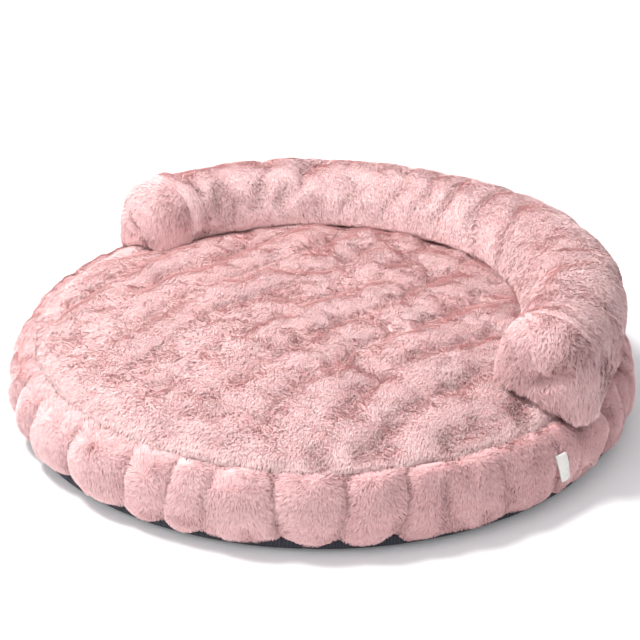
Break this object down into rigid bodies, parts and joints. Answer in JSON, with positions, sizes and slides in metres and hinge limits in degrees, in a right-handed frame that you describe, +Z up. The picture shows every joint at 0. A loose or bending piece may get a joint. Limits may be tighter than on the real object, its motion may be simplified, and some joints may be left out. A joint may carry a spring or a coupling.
{
  "type": "bolster dog bed",
  "caption": "Round plush pet bed: crowned base cushion with a gathered side band, C-shaped bolster sewn on top, and a zip in the rear hem.",
  "frame": {"origin": "on the floor under the middle of the base", "axes": "+Z up, +Y to the rear, where the middle of the bolster lies, so the bed opens towards -Y"},
  "size_m": [0.9232, 0.9192, 0.2263],
  "materials": {
    "plush": "long soft pile, dusty pink",
    "lining": "plain woven liner, fibre filled",
    "underside": "coated non-slip weave, near black navy",
    "zip_tape": "woven tape",
    "zip_teeth": "moulded",
    "zip_metal": "satin plated",
    "label": "blank woven label"
  },
  "bodies": {
    "root": {"base_top_panel": "plush", "base_side_band": "plush", "base_bottom_panel": "underside", "base_inner_cushion": "lining", "bolster_cover": "plush", "bolster_end_cap_right": "plush", "bolster_end_cap_left": "plush", "bolster_inner_cushion": "lining", "woven_label": "label", "zipper_tape_upper": "zip_tape", "zipper_tape_lower": "zip_tape", "zipper_teeth_upper": "zip_teeth", "zipper_teeth_lower": "zip_teeth", "zipper_top_stop_upper": "zip_metal", "zipper_top_stop_lower": "zip_metal", "zipper_bottom_stop": "zip_metal"},
    "zipper_slider_body": {"zipper_slider": "zip_metal"},
    "zipper_pull_body": {"zipper_pull": "zip_metal"}
  },
  "joints": [
    {"name": "zipper_slide", "type": "hinge", "parent": "root", "child": "zipper_slider_body", "pos_m": [0, 0, 0.0165], "axis": [0, 0, 1], "range_deg": [0, 54.5], "deforming": ["zipper_teeth_upper", "zipper_teeth_lower"]},
    {"name": "pull_swing", "type": "hinge", "parent": "zipper_slider_body", "child": "zipper_pull_body", "pos_m": [0.20747, 0.39376, 0.0165], "axis": [0, 0, -1], "range_deg": [0, 180]}
  ]
}
